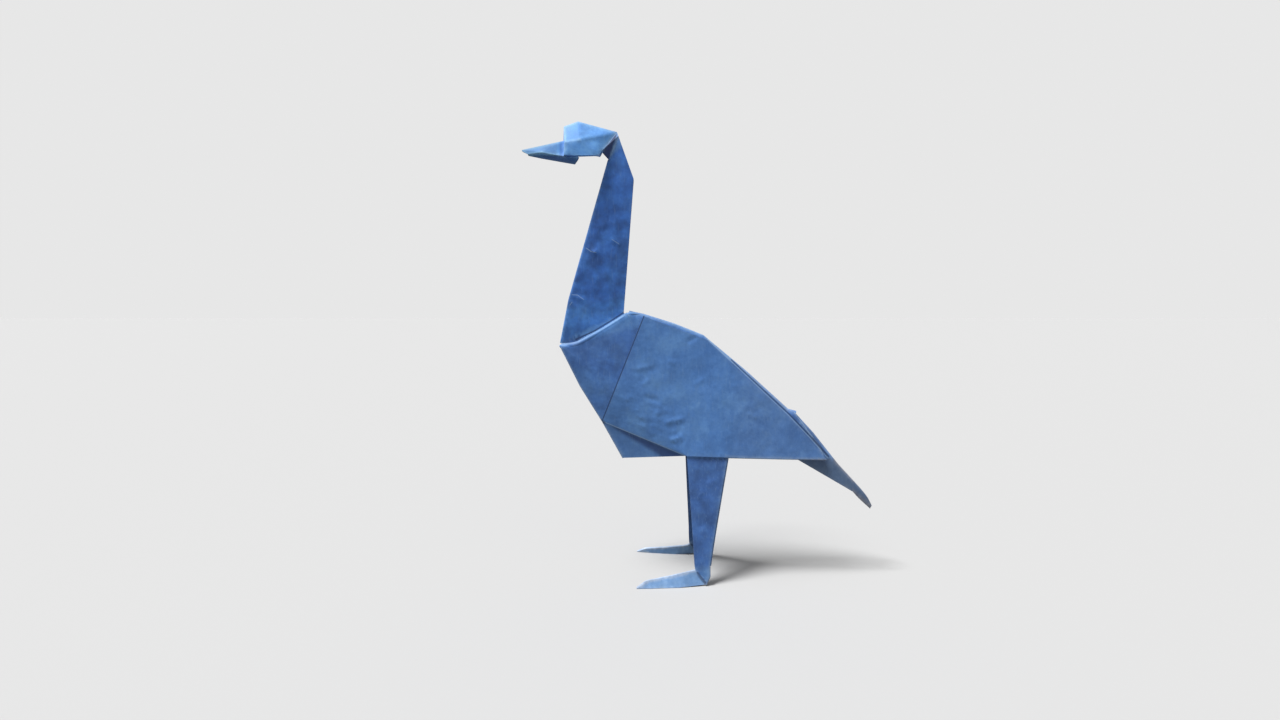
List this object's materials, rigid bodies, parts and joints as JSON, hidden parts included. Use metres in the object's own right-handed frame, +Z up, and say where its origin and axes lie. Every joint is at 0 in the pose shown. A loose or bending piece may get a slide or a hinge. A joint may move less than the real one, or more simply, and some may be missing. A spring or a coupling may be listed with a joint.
{
  "type": "origami stork",
  "caption": "Long-necked standing bird folded from a square of blue paper, with a hooded head, pleated tail and flat feet; a small ornament that stands by itself.",
  "frame": {"origin": "on the table, under the middle of the part's length and width", "axes": "+Z up, the bird faces -X, +Y is its right-hand side; the middle plane of the body is Y = 0"},
  "size_m": [0.1018, 0.0304, 0.1301],
  "materials": {
    "paper": "matt handmade-look paper, dyed blue on both sides, with small puckers and fibres"
  },
  "bodies": {
    "root": {"folded_sheet": "paper"}
  },
  "joints": []
}
